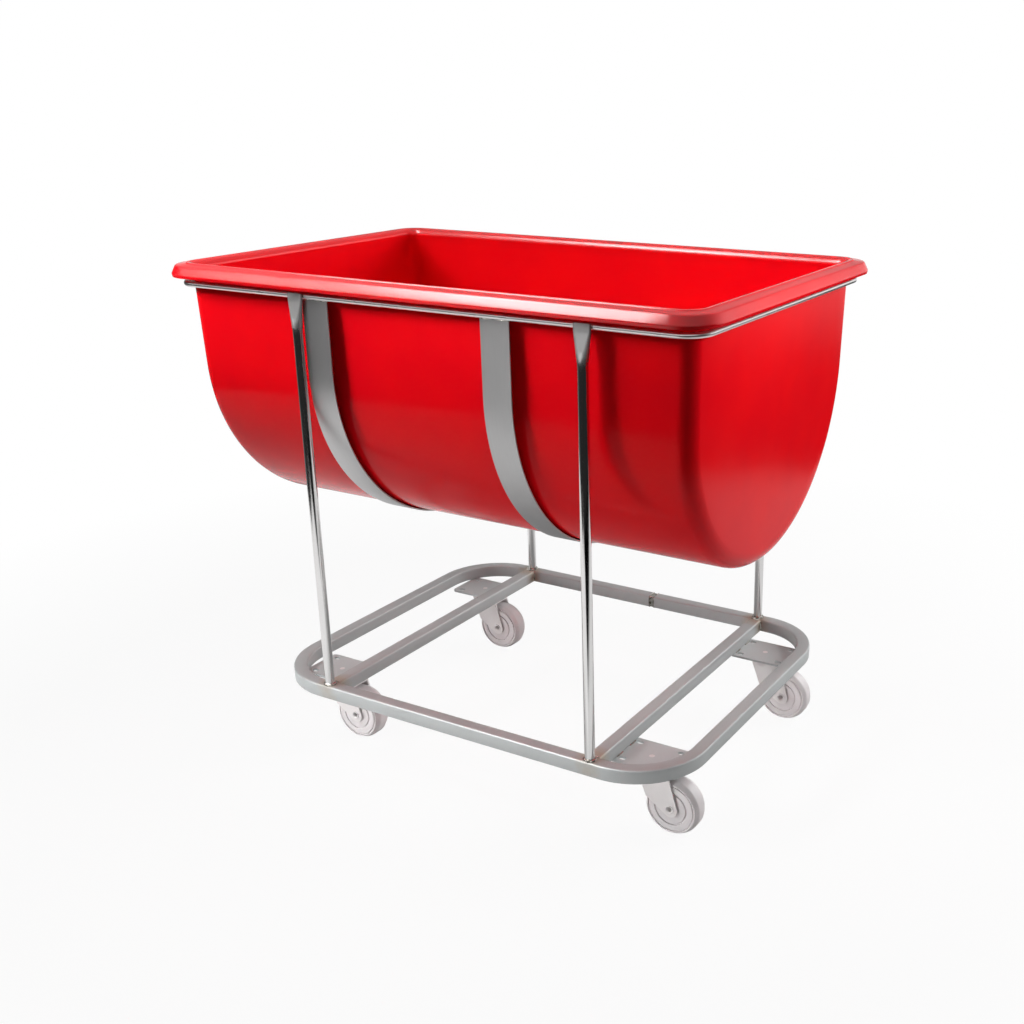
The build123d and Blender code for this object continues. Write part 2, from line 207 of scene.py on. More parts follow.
class Shape:
    """Points and faces of one piece while it is being made."""

    def __init__(self):
        self.points = []
        self.faces = []

    def row(self, points):
        """Adds a row of points and returns their numbers."""
        start = len(self.points)
        self.points.extend(points)
        return list(range(start, len(self.points)))

    def skin(self, rows, round_rows=False, round_points=False):
        """Covers neighbouring rows with faces of four corners."""
        for first, second in zip(rows, rows[1:] + rows[:1] if round_rows else rows[1:]):
            count = len(first) if round_points else len(first) - 1
            for i in range(count):
                j = (i + 1) % len(first)
                self.faces.append((first[i], first[j], second[j], second[i]))

    def cap(self, row):
        """Closes a row with one face."""
        self.faces.append(tuple(row))

    def fan(self, row, tip):
        """Closes a row with triangles to one point."""
        for first, second in zip(row, row[1:]):
            self.faces.append((first, second, tip))

    def tube(self, rows, closed=False):
        """Covers rows that go round, and caps both ends or joins them."""
        self.skin(rows, round_rows=closed, round_points=True)
        if not closed:
            self.cap(rows[0])
            self.cap(rows[-1])

    def sweep(self, stations, section, closed=False):
        """Carries a closed section along stations of (origin, side, up)."""
        rows = [self.row([origin + side * u + up * v for u, v in section]) for origin, side, up in stations]
        self.tube(rows, closed)


def make_piece(name, shape, body, finish, replaced=(), sharp=40):
    """Turns a shape into a shaded object that rides on a body."""
    mesh = bpy.data.meshes.new(name)
    build = bmesh.new()
    corners = [build.verts.new(point) for point in shape.points]
    for face in shape.faces:
        build.faces.new([corners[i] for i in face])
    bmesh.ops.recalc_face_normals(build, faces=build.faces)
    build.to_mesh(mesh)
    build.free()
    mesh.shade_smooth()
    mesh.set_sharp_from_angle(angle=math.radians(sharp))
    mesh.materials.append(finish)
    piece = bpy.data.objects.new(name, mesh)
    bpy.context.scene.collection.objects.link(piece)
    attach(piece, body)
    if replaced:
        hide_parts(*replaced)


def dress_node(node, finish):
    """Gives a frame node that stays as it is its finish."""
    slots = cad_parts[node].data.materials
    slots.clear()
    slots.append(finish)


def arc(centre, radius, start, end, steps):
    """Points on an arc in a plane, angles in degrees from the first axis."""
    angles = [math.radians(start + (end - start) * i / steps) for i in range(steps + 1)]
    return [(centre[0] + radius * math.cos(a), centre[1] + radius * math.sin(a)) for a in angles]


def circle(centre, radius, count):
    """Points spread evenly round a circle in a plane."""
    return arc(centre, radius, 0, 360 * (count - 1) / count, count - 1)


def rounded(outline, radii, steps=5):
    """An outline with each corner rounded by its own radius, or left sharp where that is 0."""
    points = []
    for i, (corner, radius) in enumerate(zip(outline, radii)):
        if radius == 0:
            points.append(tuple(corner))
            continue
        here = Vector(corner)
        before = (Vector(outline[i - 1]) - here).normalized()
        after = (Vector(outline[(i + 1) % len(outline)]) - here).normalized()
        half = before.angle(after) / 2
        centre = here + (before + after).normalized() * (radius / math.sin(half))
        start, end = [here + way * (radius / math.tan(half)) - centre for way in (before, after)]
        for k in range(steps + 1):
            points.append(tuple(centre + start.slerp(end, k / steps).normalized() * radius))
    return points


def rounded_rectangle(width, height, radius, steps=4):
    """A closed rectangle with rounded corners about its middle."""
    w, h = width / 2, height / 2
    return rounded([(w, h), (-w, h), (-w, -h), (w, -h)], [radius] * 4, steps)


def level_loop(half_length, half_width, radius, middle, steps=12):
    """Stations round a level rounded rectangle, starting behind the middle and turning to the right."""
    stations = []
    reach, depth = half_length - radius, half_width - radius
    for x, y, start in ((reach, depth, 90), (reach, -depth, 0), (-reach, -depth, -90), (-reach, depth, -180)):
        for u, v in arc((0, 0), 1, start, start - 90, steps):
            outward = Vector((u, v, 0))
            stations.append((middle + Vector((x, y, 0)) + outward * radius, outward, UP))
    return stations


def tub_section(tub, inset, half_width, root, bottom, wall_steps=10, belly_steps=96):
    """The tub's U from the front edge under the belly to the back edge, as (y, z, outward y, outward z)."""
    lean = tub.side_taper
    depth = root - bottom
    radius = (half_width - depth * math.tan(lean)) / (1 / math.cos(lean) - math.tan(lean))
    middle = bottom + radius
    radius -= inset
    front = []
    wall_end = middle - radius * math.sin(lean)
    for i in range(wall_steps):
        share = i / wall_steps
        z = root + (wall_end - root) * share
        y = (radius + (z - middle) * math.sin(lean)) / math.cos(lean)
        front.append((-y, z, -math.cos(lean * share), -math.sin(lean * share)))
    tilt = math.degrees(lean)
    round_part = arc((0, 0), 1, 180 + tilt, 360 - tilt, belly_steps)
    belly = [(radius * out_y, middle + radius * out_z, out_y, out_z) for out_y, out_z in round_part]
    back = [(-y, z, -out_y, out_z) for y, z, out_y, out_z in reversed(front)]
    return front + belly + back


def tub_shell(shape, tub, inset, half_length, half_width, root, bottom, straight_steps=26, corner_steps=8,
              end_steps=18):
    """Adds one face of the tub's shell and returns its top edge, as point numbers and outward directions."""
    section = tub_section(tub, inset, half_width, root, bottom)
    radius = tub.corner_radius - inset

    def end_reach(z):
        return half_length - inset / math.cos(tub.end_taper) - (root - z) * math.tan(tub.end_taper)

    def column(share, turn):
        moved = radius * (1 - math.cos(turn))
        points = []
        for y, z, out_y, out_z in section:
            low_z = z - out_z * moved
            x = (end_reach(low_z) - radius) * share + radius * math.sin(turn)
            points.append(Vector((x, y - out_y * moved, low_z)))
        return shape.row(points)

    turns = [math.pi / 2 * (i + 1) / corner_steps for i in range(corner_steps)]
    stations = [(-1, -turn) for turn in reversed(turns)]
    stations += [(2 * i / straight_steps - 1, 0) for i in range(straight_steps + 1)]
    stations += [(1, turn) for turn in turns]
    columns = [column(share, turn) for share, turn in stations]
    outward = [Vector((math.sin(turn), -math.cos(turn), 0)) for share, turn in stations]
    shape.skin(columns)

    end_tops = []
    for edge in (columns[-1], columns[0]):
        last = len(edge) - 1
        keel = last // 2
        rows = []
        for s in range(keel):
            front, back = shape.points[edge[s]], shape.points[edge[last - s]]
            between = [front.lerp(back, j / end_steps) for j in range(1, end_steps)]
            rows.append([edge[s]] + shape.row(between) + [edge[last - s]])
        shape.skin(rows)
        shape.fan(rows[-1], edge[keel])
        end_tops.append(rows[0][1:-1])

    front_edge = [(points[0], out) for points, out in zip(columns, outward)]
    right_edge = [(point, RIGHT) for point in end_tops[0]]
    back_edge = [(points[-1], Vector((out.x, -out.y, 0))) for points, out in zip(columns, outward)]
    left_edge = [(point, -RIGHT) for point in end_tops[1]]
    return front_edge + right_edge + back_edge[::-1] + left_edge[::-1]


def rim_outline(tub, crest):
    """The rim's outline from the outer wall round the lip and over the crest inwards, as (out, up)."""
    wall, radius = tub.rim_wall, tub.rim_inner_radius
    bend = radius - tub.wall - tub.rim_step
    roof, lip = crest - wall, crest - tub.rim_drop
    slope, lean = math.tan(tub.rim_fall), math.tan(tub.rim_face_lean)
    ridge = Vector((bend + tub.bead_width, crest))
    top = ridge + Vector((tub.bead_height, -tub.bead_height))
    nose = Vector((tub.rim_overhang, lip + tub.rim_face_foot))
    rise = (top.y - slope * (nose.x - top.x) - nose.y) / (1 - slope * lean)
    crease = nose + Vector((-lean, 1)) * rise
    inward = (top - crease).normalized() + (nose - crease).normalized()
    half = (top - crease).angle(nose - crease) / 2
    inner_crease = crease + inward.normalized() * (wall / math.sin(half))
    heel = (nose.x - tub.rim_roll, lip)
    inner_heel = (nose.x - wall / math.cos(tub.rim_face_lean) + (nose.y - lip) * lean, lip)
    under = arc((bend, roof - bend + tub.rim_step), bend - tub.rim_step, 180, 90, 8)
    face = [(bend, roof), inner_crease, inner_heel, heel, nose, crease, top, ridge, (bend, crest)]
    soft = tub.bead_height / 2
    radii = [0, tub.crease_radius / 2, 0, 0, tub.nose_radius, tub.crease_radius, soft, soft, 0]
    over = arc((bend, crest - radius), radius, 90, 180, 12)
    return under + rounded(face, radii)[1:] + over[1:]


def build_tub(tub, finish):
    """The moulded tub with its rolled rim, as one closed shell."""
    low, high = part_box("tub")
    root = high.z - tub.rim_inner_radius - tub.rim_root_height
    half_length = high.x - tub.rim_overhang
    half_width = high.y - tub.rim_overhang
    shape = Shape()
    outer_edge = tub_shell(shape, tub, 0, half_length, half_width, root, low.z)
    inner_edge = tub_shell(shape, tub, tub.wall, half_length, half_width, root, low.z)
    loops = [[point for point, out in outer_edge]]
    for out_by, up_by in rim_outline(tub, high.z - root):
        ring = [shape.points[point] + out * out_by + UP * up_by for point, out in outer_edge]
        loops.append(shape.row(ring))
    loops.append([point for point, out in inner_edge])
    shape.skin(loops, round_points=True)
    make_piece("moulded_tub", shape, "tub", finish, ["tub"], sharp=60)


def build_ring(sizes, finish):
    """The round bar bent into a closed loop under the rim."""
    low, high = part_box("top_ring")
    middle, half = (low + high) / 2, (high - low) / 2
    bar = sizes.ring_bar / 2
    stations = level_loop(half.x - bar, half.y - bar, sizes.ring_corner, middle)
    shape = Shape()
    shape.sweep(stations, circle((0, 0), bar, 20), closed=True)
    make_piece("rim_ring", shape, "frame", finish, ["top_ring"])


def strap_stations(low, high, thickness, steps=72):
    """Stations along a strap's middle, from the front top under the tub to the back top."""
    radius = high.y - thickness / 2
    x = (low.x + high.x) / 2
    middle = Vector((x, 0, low.z + high.y))
    stations = [(Vector((x, -radius, high.z)), RIGHT, -BACK)]
    for out_y, out_z in arc((0, 0), 1, 180, 360, steps):
        outward = Vector((0, out_y, out_z))
        stations.append((middle + outward * radius, RIGHT, outward))
    stations.append((Vector((x, radius, high.z)), RIGHT, BACK))
    return stations


def build_straps(sizes, finishes):
    """The two flat straps that carry the tub."""
    for side in SIDES:
        node = f"strap_{side}"
        low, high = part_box(node)
        section = rounded_rectangle(high.x - low.x, sizes.strap_thickness, sizes.strap_edge)
        shape = Shape()
        shape.sweep(strap_stations(low, high, sizes.strap_thickness), section)
        make_piece(f"carrying_{node}", shape, "frame", finishes[side], [node])


def leg_section(sizes, depth, flat, ridge, arc_steps=10):
    """A tube pressed to a depth: round ends beside two flat faces that are sunk inside their ridges."""
    lip = min(sizes.fan_lip, flat / 2)
    sunk = depth - ridge
    right = arc((flat, 0), depth, -90, 90, arc_steps)
    left = arc((-flat, 0), depth, 90, 270, arc_steps)
    back = [(flat - lip, sunk), (-flat + lip, sunk)]
    front = [(-flat + lip, -sunk), (flat - lip, -sunk)]
    return right + back + left + front


def leg_levels(sizes, low, high, taper_steps=12, ridge_rise=3):
    """Heights up a leg, each with its half depth, half flat and the sinking of its faces."""
    tube, fan = sizes.leg_diameter / 2, sizes.fan_thickness / 2
    tube_flat = 0.05 * MM
    fan_flat = (high.x - low.x) / 2 - fan
    fan_start = high.z - sizes.fan_flat - sizes.fan_taper
    levels = [(low.z, tube, tube_flat, 0), (fan_start, tube, tube_flat, 0)]
    for i in range(1, taper_steps + 1):
        share = i / taper_steps
        depth = tube + (fan - tube) * share
        flat = tube_flat + (fan_flat - tube_flat) * share
        ridge = sizes.fan_ridge * min(1, ridge_rise * share)
        levels.append((fan_start + sizes.fan_taper * share, depth, flat, ridge))
    edge = sizes.fan_edge
    return levels + [(high.z - edge, fan, fan_flat, sizes.fan_ridge), (high.z, fan - edge, fan_flat, 0)]


def build_legs(sizes, finish):
    """The four leg tubes, pressed flat to a fan where they meet the ring."""
    for corner in CORNERS:
        node = f"{corner}_leg"
        low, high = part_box(node)
        x, y = (low.x + high.x) / 2, (low.y + high.y) / 2
        shape = Shape()
        rows = []
        for z, depth, flat, ridge in leg_levels(sizes, low, high):
            section = leg_section(sizes, depth, flat, ridge)
            rows.append(shape.row([Vector((x + u, y + v, z)) for u, v in section]))
        shape.tube(rows)
        make_piece(f"{corner}_leg_tube", shape, "frame", finish, [node], sharp=32)


def build_base(sizes, finish, weld_finish):
    """The bent base loop, its splice and the two cross members."""
    low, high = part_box("base_loop")
    splice_low, splice_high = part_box("base_splice")
    middle, half = (low + high) / 2, (high - low) / 2
    tube = sizes.rail_size / 2
    corners = level_loop(half.x - tube, half.y - tube, sizes.rail_bend, middle, steps=20)
    back_y = high.y - tube
    start, end = [(Vector((x, back_y, middle.z)), BACK, UP) for x in (splice_high.x, splice_low.x)]
    section = rounded_rectangle(sizes.rail_size, sizes.rail_size, sizes.rail_edge)
    shape = Shape()
    shape.sweep([start, *corners, end], section)
    make_piece("base_rail_loop", shape, "frame", finish, ["base_loop"])
    for side in SIDES:
        node = f"cross_{side}"
        low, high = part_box(node)
        middle = (low + high) / 2
        stations = [(Vector((middle.x, y, middle.z)), RIGHT, UP) for y in (low.y, high.y)]
        shape = Shape()
        shape.sweep(stations, section)
        make_piece(f"{node}_tube", shape, "frame", finish, [node])
    dress_node("base_splice", weld_finish)


def wheel_outline(sizes, radius, half_width):
    """Half of a wheel's section from the bore over its face to the middle of the tread, as (radius, out)."""
    floor = half_width - sizes.groove_depth
    grooves = ((sizes.hub_groove, sizes.hub_groove_width), (sizes.rim_groove, sizes.rim_groove_width))
    outline = [(sizes.bore, 0), (sizes.bore, half_width)]
    for middle, width in grooves:
        near, far = middle - width / 2, middle + width / 2
        outline += [(near, half_width), (near, floor), (far, floor), (far, half_width)]
    outline += [(radius - sizes.shoulder, half_width), (radius, sizes.tread_band / 2), (radius, 0)]
    moulded = [sizes.edge] * (1 + 4 * len(grooves))
    radii = [0] + moulded + [sizes.face_edge, sizes.tread_edge, 0]
    return rounded(outline, radii, steps=4)


def build_wheels(sizes, finish, bush_finish, steps=72):
    """The four moulded wheels on their bushes."""
    for corner in CORNERS:
        node = f"{corner}_castor_wheel"
        low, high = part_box(node)
        middle, half = (low + high) / 2, (high - low) / 2
        face = wheel_outline(sizes, half.z, half.y)
        outline = face + [(r, -out) for r, out in reversed(face)][1:-1]
        spokes = [Vector((u, 0, v)) for u, v in circle((0, 0), 1, steps)]
        shape = Shape()
        shape.sweep([(middle, spoke, BACK) for spoke in spokes], outline, closed=True)
        make_piece(f"{corner}_wheel_moulding", shape, f"{corner}_wheel", finish, [node], sharp=50)
        dress_node(f"{corner}_castor_bush", bush_finish)


def build_castors(plate_finish, castor_finish, bearing_finish):
    """Dresses the plates, forks, axles, kingpins and balls of the castors."""
    for corner in CORNERS:
        dress_node(f"{corner}_castor_plate", plate_finish)
        for piece in ("fork", "axle", "kingpin"):
            dress_node(f"{corner}_castor_{piece}", castor_finish)
        dress_node(f"{corner}_castor_balls", bearing_finish)


def add_bead(shape, line, sizes, scale, closed=False):
    """Adds a rippled weld bead along a line of points, thinner at its open ends."""
    points_per_ripple, sides, steep = 4, 8, 0.9
    ripple_depth, end_size, end_growth = 0.16, 0.45, 0.4
    points = []
    for first, second in zip(line, line[1:] + line[:1] if closed else line[1:]):
        count = max(2, round((second - first).length / (sizes.bead_pitch / points_per_ripple)))
        points += [first.lerp(second, i / count) for i in range(count)]
    if not closed:
        points.append(line[-1])
    travelled = 0
    stations = []
    for i, point in enumerate(points):
        before = points[i - 1] if closed or i else point
        after = points[(i + 1) % len(points)] if closed or i + 1 < len(points) else point
        along = (after - before).normalized()
        helper = UP if abs(along.z) < steep else RIGHT
        side = along.cross(helper).normalized()
        travelled += (point - points[i - 1]).length if i else 0
        ripple = 1 - ripple_depth * (1 - abs(math.cos(math.pi * travelled / sizes.bead_pitch)))
        ends = 1 if closed else min(1, end_size + end_growth * min(i, len(points) - 1 - i))
        radius = sizes.bead_radius * scale * ripple * ends
        stations.append((point, side * radius, side.cross(along) * radius))
    shape.sweep(stations, circle((0, 0), 1, sides), closed)


def leg_foot_welds(shape, sizes):
    """Beads round the legs' feet on the base loop."""
    radius = sizes.leg_diameter / 2 + sizes.bead_radius * 0.2
    for corner in CORNERS:
        low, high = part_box(f"{corner}_leg")
        middle = (low + high) / 2
        level = low.z + sizes.bead_radius * 0.5
        line = [Vector((x, y, level)) for x, y in circle(middle, radius, 24)]
        add_bead(shape, line, sizes, scale=1.4, closed=True)


def fan_welds(shape, sizes):
    """Beads beside and along the top of the legs' fans, where they meet the ring."""
    ring_low, ring_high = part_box("top_ring")
    bar = sizes.ring_bar
    for corner in CORNERS:
        low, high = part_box(f"{corner}_leg")
        leg_y = (low.y + high.y) / 2
        outward = math.copysign(1, leg_y)
        ring_y = outward * (ring_high.y - bar * 0.12)
        for x in (low.x, high.x):
            line = [Vector((x, ring_y, ring_low.z + bar * share)) for share in (0.2, 0.8)]
            add_bead(shape, line, sizes, scale=0.8)
        top_y = leg_y - outward * sizes.fan_thickness / 2
        line = [Vector((x, top_y, high.z - sizes.bead_radius)) for x in (low.x, high.x)]
        add_bead(shape, line, sizes, scale=0.7)


def strap_welds(shape, sizes):
    """Broken runs of bead along the straps' upper ends."""
    runs = ((0.04, 0.34), (0.44, 0.5), (0.58, 0.96))
    for side in SIDES:
        low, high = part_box(f"strap_{side}")
        for y in (low.y, high.y):
            inner = y - math.copysign(sizes.strap_thickness / 2, y)
            for run in runs:
                line = [Vector((low.x + (high.x - low.x) * share, inner, high.z)) for share in run]
                add_bead(shape, line, sizes, scale=0.9)


def cross_welds(shape, sizes):
    """Beads up the sides and over the top of the cross members' ends."""
    edge = sizes.rail_edge
    for side in SIDES:
        low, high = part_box(f"cross_{side}")
        for y in (low.y, high.y):
            for x in (low.x, high.x):
                add_bead(shape, [Vector((x, y, z)) for z in (low.z + edge, high.z - edge)], sizes, scale=0.8)
            add_bead(shape, [Vector((x, y, high.z)) for x in (low.x + edge, high.x - edge)], sizes, scale=0.7)


def plate_welds(shape, sizes):
    """Two runs of bead where each castor plate meets its cross member."""
    for corner in CORNERS:
        low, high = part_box(f"{corner}_castor_plate")
        cross_low, cross_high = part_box(f"cross_{corner.split('_')[1]}")
        x = cross_high.x if high.x > cross_high.x else cross_low.x
        step = (high.y - low.y) / 8
        for run in ((low.y + step, low.y + 3 * step), (high.y - 3 * step, high.y - step)):
            add_bead(shape, [Vector((x, y, high.z)) for y in run], sizes, scale=0.8)


def splice_welds(shape, sizes):
    """Thin beads round both ends of the splice."""
    low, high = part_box("base_splice")
    middle = (low + high) / 2
    outline = rounded_rectangle(sizes.rail_size, sizes.rail_size, sizes.rail_edge)
    for x in (low.x, high.x):
        line = [Vector((x, middle.y + u, middle.z + v)) for u, v in outline]
        add_bead(shape, line, sizes, scale=0.4, closed=True)


def build_welds(sizes, finish):
    """The weld beads of the frame, one piece for each kind of seam, with its function's name."""
    for add_seams in (leg_foot_welds, fan_welds, strap_welds, cross_welds, plate_welds, splice_welds):
        shape = Shape()
        add_seams(shape, sizes)
        make_piece(add_seams.__name__, shape, "frame", finish)


class Nodes:
    """Short ways to fill a node tree."""

    def __init__(self, tree):
        self.tree = tree
        tree.nodes.clear()

    def add(self, kind, inputs=None, **settings):
        """Adds a node, sets its properties and gives each named input a link or a fixed value."""
        made = self.tree.nodes.new(kind)
        for name, value in settings.items():
            setattr(made, name, value)
        for name, value in (inputs or {}).items():
            if isinstance(value, bpy.types.NodeSocket):
                self.tree.links.new(value, made.inputs[name])
            else:
                made.inputs[name].default_value = value
        return made

    def place(self, stretch=(1, 1, 1)):
        """The place on the object, in metres, stretched along each axis."""
        source = self.add("ShaderNodeTexCoord").outputs["Object"]
        return self.add("ShaderNodeMapping", {"Vector": source, "Scale": stretch}).outputs["Vector"]

    def axes(self, vector):
        """The parts of a vector along X, Y and Z."""
        return tuple(self.add("ShaderNodeSeparateXYZ", {"Vector": vector}).outputs)

    def noise(self, place, scale, detail=3.0, rough=0.55):
        """A cloudy value from 0 to 1."""
        inputs = {"Vector": place, "Scale": scale, "Detail": detail, "Roughness": rough}
        return self.add("ShaderNodeTexNoise", inputs).outputs["Fac"]

    def spread(self, value, low, high, start=0.0, end=1.0):
        """Maps a value that goes from start to end, so that it goes from low to high."""
        inputs = {"Value": value, "From Min": start, "From Max": end, "To Min": low, "To Max": high}
        return self.add("ShaderNodeMapRange", inputs).outputs["Result"]

    def blend(self, value, first, second):
        """A colour between two colours."""
        inputs = {"Factor": value}
        for name, tint in (("A", first), ("B", second)):
            inputs[name] = tint if isinstance(tint, bpy.types.NodeSocket) else (*tint, 1)
        return self.add("ShaderNodeMix", inputs, data_type="RGBA").outputs["Result"]

    def maths(self, operation, first, second=0.0):
        """One sum on one or two values."""
        return self.add("ShaderNodeMath", {0: first, 1: second}, operation=operation).outputs["Value"]

    def distance(self, place, centre):
        """How far a place is from a point."""
        inputs = {0: place, 1: centre}
        return self.add("ShaderNodeVectorMath", inputs, operation="DISTANCE").outputs["Value"]

    def bump(self, height, distance, **inputs):
        """A surface direction from a height."""
        inputs.update(Height=height, Distance=distance)
        return self.add("ShaderNodeBump", inputs).outputs["Normal"]

    def surface(self, tint, roughness, normal, **numbers):
        """The finished surface."""
        inputs = {"Base Color": tint, "Roughness": roughness, "Normal": normal, **numbers}
        shader = self.add("ShaderNodeBsdfPrincipled", inputs)
        self.add("ShaderNodeOutputMaterial", {"Surface": shader.outputs["BSDF"]})

    def mix_out(self, output, share, first, second):
        """Sends a mix of two shaders to an output."""
        mix = self.add("ShaderNodeMixShader", {"Fac": share, 1: first.outputs[0], 2: second.outputs[0]})
        self.add(output, {"Surface": mix.outputs["Shader"]})


def new_finish(name):
    """An empty material and its nodes."""
    made = bpy.data.materials.new(name)
    made.use_nodes = True
    return made, Nodes(made.node_tree)


def shaded(tint, share):
    """A colour made darker or lighter by a share."""
    return tuple(min(1, level * share) for level in tint)


def gelcoat(nodes, colours):
    """Gloss moulded red with faint clouds and a soft skin, a little duller but glossier on the rim."""
    place = nodes.place()
    clouds = nodes.noise(place, 5.0, detail=4.0)
    tint = nodes.blend(nodes.spread(clouds, 0, 1, 0.35, 0.65), colours.tub_deep, colours.tub_red)
    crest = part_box("tub")[1].z
    wall_top, lip, rim_face = crest - 45 * MM, crest - 30 * MM, crest - 22 * MM
    x, y, z = nodes.axes(place)
    handled = nodes.spread(z, 0.0, 0.03, wall_top, lip)
    dull = nodes.spread(nodes.noise(place, 14.0), 0.14, 0.2, 0.3, 0.7)
    waves = nodes.bump(nodes.noise(place, 9.0, detail=2.0), 0.4 * MM)
    skin = nodes.bump(nodes.noise(place, 220.0, detail=1.0), 0.01 * MM, Normal=waves)
    wall_gloss, rim_gloss = 0.08, 0.5
    gloss = nodes.spread(z, wall_gloss, rim_gloss, lip, rim_face)
    mirror = {"IOR": 1.5, "Specular IOR Level": gloss}
    nodes.surface(tint, nodes.maths("ADD", dull, handled), skin, **mirror)


def polished_steel(nodes, colours, stretch, dull, painted_shade):
    """Drawn and polished steel with fine marks along the tube, duller on the flat leg tops and darker there
    with painted shade.
    """
    marks = nodes.noise(nodes.place(stretch), 8.0, detail=4.0)
    clouds = nodes.noise(nodes.place(), 18.0)
    base, cloud_share = colours.polished, 0.92
    drawn = nodes.blend(clouds, shaded(base, cloud_share), base)
    # Painted shade: the flat leg tops get a darker copy of the steel colour, standing in for the dim room
    # they mirror.
    flat = nodes.blend(clouds, shaded(base, cloud_share * painted_shade), shaded(base, painted_shade))
    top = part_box("front_left_leg")[1].z
    x, y, z = nodes.axes(nodes.place())
    pressed = nodes.spread(z, 0.0, 1.0, top - 70 * MM, top - 40 * MM)
    polish = nodes.spread(marks, 0.09, 0.15, 0.3, 0.7)
    roughness = nodes.maths("ADD", polish, nodes.maths("MULTIPLY", pressed, dull))
    tint = nodes.blend(pressed, drawn, flat)
    nodes.surface(tint, roughness, nodes.bump(marks, 0.015 * MM), Metallic=1.0)


def satin_steel(nodes, colours, base, stretch, dull, metal=1.0, heat=False):
    """Brushed satin steel, with the brush marks along the long direction of the stretch."""
    marks = nodes.noise(nodes.place(stretch), 6.0, detail=5.0, rough=0.7)
    clouds = nodes.noise(nodes.place(), 11.0, detail=4.0)
    tint = nodes.blend(clouds, shaded(base, 0.9), shaded(base, 1.04))
    if heat:
        tint = nodes.blend(heat_share(nodes), tint, colours.heat_tint)
    roughness = nodes.spread(marks, dull - 0.05, dull + 0.05, 0.3, 0.7)
    nodes.surface(tint, roughness, nodes.bump(marks, 0.012 * MM), Metallic=metal)


def weld_metal(nodes, colours):
    """Bright weld metal with burnt spots and a lumpy skin."""
    place = nodes.place()
    spots = nodes.spread(nodes.noise(place, 190.0, detail=2.0), 0, 1, 0.42, 0.56)
    tint = nodes.blend(spots, colours.burnt, colours.weld)
    lumps = nodes.bump(nodes.noise(place, 320.0, detail=2.0), 0.4 * MM)
    nodes.surface(tint, nodes.spread(spots, 0.42, 0.16), lumps, Metallic=1.0)


def heat_share(nodes):
    """How much heat colour a place has: most beside the cross members' welded ends."""
    left_low, left_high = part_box("cross_left")
    right_low, right_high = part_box("cross_right")
    middle = (left_low.x + right_high.x) / 2
    reach = (right_low.x + right_high.x) / 2 - middle
    x, y, z = nodes.axes(nodes.place())
    from_middle = nodes.maths("ABSOLUTE", nodes.maths("SUBTRACT", x, middle))
    along = nodes.maths("SUBTRACT", from_middle, reach)
    across = nodes.maths("SUBTRACT", nodes.maths("ABSOLUTE", y), left_high.y)
    squares = [nodes.maths("POWER", part, 2) for part in (along, across)]
    apart = nodes.maths("SQRT", nodes.maths("ADD", *squares))
    ragged = nodes.spread(nodes.noise(nodes.place(), 60.0), -12 * MM, 12 * MM)
    return nodes.spread(nodes.maths("ADD", apart, ragged), 0.75, 0.0, 12 * MM, 34 * MM)


def nylon(nodes, colours):
    """Pale moulded nylon, a little scuffed."""
    place = nodes.place()
    scuffs = nodes.spread(nodes.noise(place, 30.0, detail=4.0), 0, 1, 0.4, 0.75)
    tint = nodes.blend(scuffs, colours.nylon, shaded(colours.nylon, 0.9))
    roughness = nodes.spread(nodes.noise(place, 90.0), 0.36, 0.5)
    grain = nodes.bump(nodes.noise(place, 300.0, detail=2.0), 0.05 * MM)
    nodes.surface(tint, roughness, grain, IOR=1.53)


def finish(name):
    """The finish with this name, made the first time it is asked for."""
    if name in bpy.data.materials:
        return bpy.data.materials[name]
    colours = bpy.context.scene.trough_finishes
    strap = {"base": colours.satin, "stretch": (110, 3, 3)}
    rail = {"stretch": (6, 6, 60), "dull": 0.46, "metal": 0.42, "heat": True}
    castor = {"base": colours.castor, "stretch": (20, 20, 20), "dull": 0.4, "metal": 0.25}
    bearing = {"base": colours.bearing, "stretch": (50, 50, 50), "dull": 0.22}
    recipes = {
        "tub_gelcoat": (gelcoat, {}),
        "leg_steel": (polished_steel, {"stretch": (60, 60, 3), "dull": 0.36, "painted_shade": 0.6}),
        "ring_steel": (polished_steel, {"stretch": (3, 3, 60), "dull": 0.17, "painted_shade": 1.0}),
        "left_strap_steel": (satin_steel, {**strap, "dull": 0.4}),
        "right_strap_steel": (satin_steel, {**strap, "dull": 0.5}),
        "rail_steel": (satin_steel, {**rail, "base": colours.rail}),
        "plate_metal": (satin_steel, {**rail, "base": colours.plate}),
        "castor_metal": (satin_steel, castor),
        "bearing_metal": (satin_steel, bearing),
        "weld_steel": (weld_metal, {}),
        "wheel_nylon": (nylon, {}),
    }
    fill, settings = recipes[name]
    made, nodes = new_finish(name)
    fill(nodes, colours, **settings)
    return made


def ray_is(nodes, *kinds):
    """One for rays of any of these kinds, such as camera rays."""
    path = nodes.add("ShaderNodeLightPath")
    share = path.outputs[f"Is {kinds[0]} Ray"]
    for kind in kinds[1:]:
        share = nodes.maths("MAXIMUM", share, path.outputs[f"Is {kind} Ray"])
    return share


